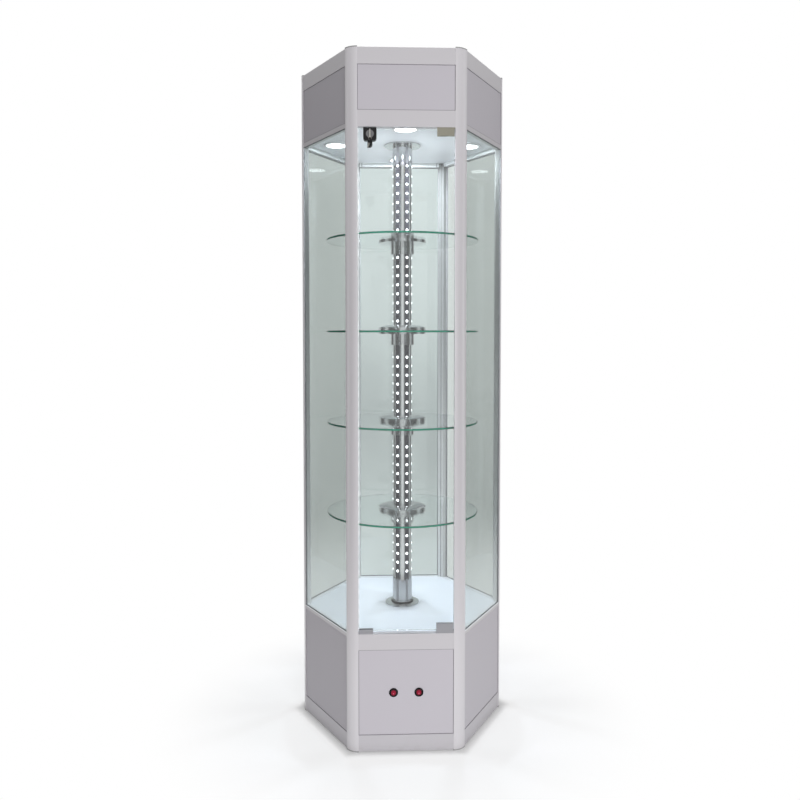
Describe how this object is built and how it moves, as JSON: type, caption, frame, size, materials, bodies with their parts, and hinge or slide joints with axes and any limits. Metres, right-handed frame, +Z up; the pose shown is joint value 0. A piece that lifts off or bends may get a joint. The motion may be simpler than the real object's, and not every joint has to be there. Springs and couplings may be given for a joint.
{
  "type": "revolving display cabinet",
  "caption": "Tall hexagonal glass showcase with a lockable hinged glass door and a lit central column that turns its round glass shelves.",
  "frame": {"origin": "centre of the footprint on the floor, on the axis of the turning column", "axes": "+Z up; the glass door faces -Y; +X to the right of a person who faces the door"},
  "size_m": [0.6274, 0.5708, 2],
  "materials": {
    "frame_aluminium": "satin anodised extrusion",
    "cap_grey": "moulded",
    "panel_grey": "satin",
    "board_white": "white laminate",
    "pane_glass": "clear, polished edges",
    "door_glass": "clear, polished edges",
    "shelf_glass": "clear, polished edges",
    "patch_steel": "satin",
    "lock_black": "satin black",
    "lock_chrome": "polished",
    "catch_steel": "satin",
    "downlight_white": "satin",
    "downlight_lens": "frosted",
    "strip_grey": "circuit strip with a row of light dots",
    "switch_black": "moulded",
    "rocker_red": "moulded",
    "column_chrome": "polished",
    "drive_steel": "turned",
    "bearing_iron": "machined",
    "motor_grey": "satin",
    "ring_black": "moulded",
    "driver_white": "moulded",
    "grommet_rubber": "moulded"
  },
  "bodies": {
    "cabinet": {"post_right": "frame_aluminium", "post_rear_right": "frame_aluminium", "post_rear_left": "frame_aluminium", "post_left": "frame_aluminium", "post_front_left": "frame_aluminium", "post_front_right": "frame_aluminium", "top_rails": "frame_aluminium", "kick_rails": "frame_aluminium", "header_lower_rail": "frame_aluminium", "base_upper_rail": "frame_aluminium", "glass_edge_trims": "frame_aluminium", "post_end_caps": "cap_grey", "front_header_panel": "panel_grey", "side_header_panels": "panel_grey", "base_front_panel": "panel_grey", "base_side_panels": "panel_grey", "floor_board": "board_white", "deck_board": "board_white", "ceiling_board": "board_white", "roof_board": "board_white", "board_brackets": "drive_steel", "motor_bracket": "drive_steel", "glass_pane_right_front": "pane_glass", "glass_pane_right_rear": "pane_glass", "glass_pane_rear": "pane_glass", "glass_pane_left_rear": "pane_glass", "glass_pane_left_front": "pane_glass", "hinge_pivot_bottom": "patch_steel", "hinge_pivot_top": "patch_steel", "magnet_catch": "catch_steel", "downlight_rims": "downlight_white", "downlight_lenses": "downlight_lens", "switch_housings": "switch_black", "ceiling_bush": "column_chrome", "lower_bearing": "bearing_iron", "slip_ring": "ring_black", "gear_motor": "motor_grey", "led_driver": "driver_white", "cable_grommet": "grommet_rubber"},
    "column": {"column_tube": "column_chrome", "led_strips": "strip_grey", "shelf_glass_1": "shelf_glass", "shelf_glass_2": "shelf_glass", "shelf_glass_3": "shelf_glass", "shelf_glass_4": "shelf_glass", "shelf_collars": "column_chrome", "shelf_caps": "column_chrome", "column_foot": "column_chrome", "drive_spindle": "drive_steel", "motor_shaft": "drive_steel"},
    "door": {"door_glass": "door_glass", "hinge_patch_bottom": "patch_steel", "hinge_patch_top": "patch_steel", "lock_case": "lock_black", "strike_clip": "catch_steel"},
    "lock": {"lock_barrel": "lock_chrome", "lock_cam": "lock_chrome", "lock_key": "lock_chrome"},
    "light_rocker": {"light_rocker": "rocker_red"},
    "motor_rocker": {"motor_rocker": "rocker_red"}
  },
  "joints": [
    {"name": "column_turn", "type": "hinge", "parent": "cabinet", "child": "column", "pos_m": [0, 0, 0.34], "axis": [0, 0, 1], "continuous": true},
    {"name": "door_swing", "type": "hinge", "parent": "cabinet", "child": "door", "pos_m": [0.12491, -0.27113, 1.06], "axis": [0, 0, 1], "range_deg": [0, 110]},
    {"name": "lock_turn", "type": "hinge", "parent": "door", "child": "lock", "pos_m": [-0.10191, -0.27713, 1.757], "axis": [0, -1, 0], "range_deg": [0, 180]},
    {"name": "light_switch", "type": "hinge", "parent": "cabinet", "child": "light_rocker", "pos_m": [-0.0365, -0.27353, 0.173], "axis": [1, 0, 0], "range_deg": [0, 18]},
    {"name": "motor_switch", "type": "hinge", "parent": "cabinet", "child": "motor_rocker", "pos_m": [0.0365, -0.27353, 0.173], "axis": [1, 0, 0], "range_deg": [0, 18]}
  ]
}
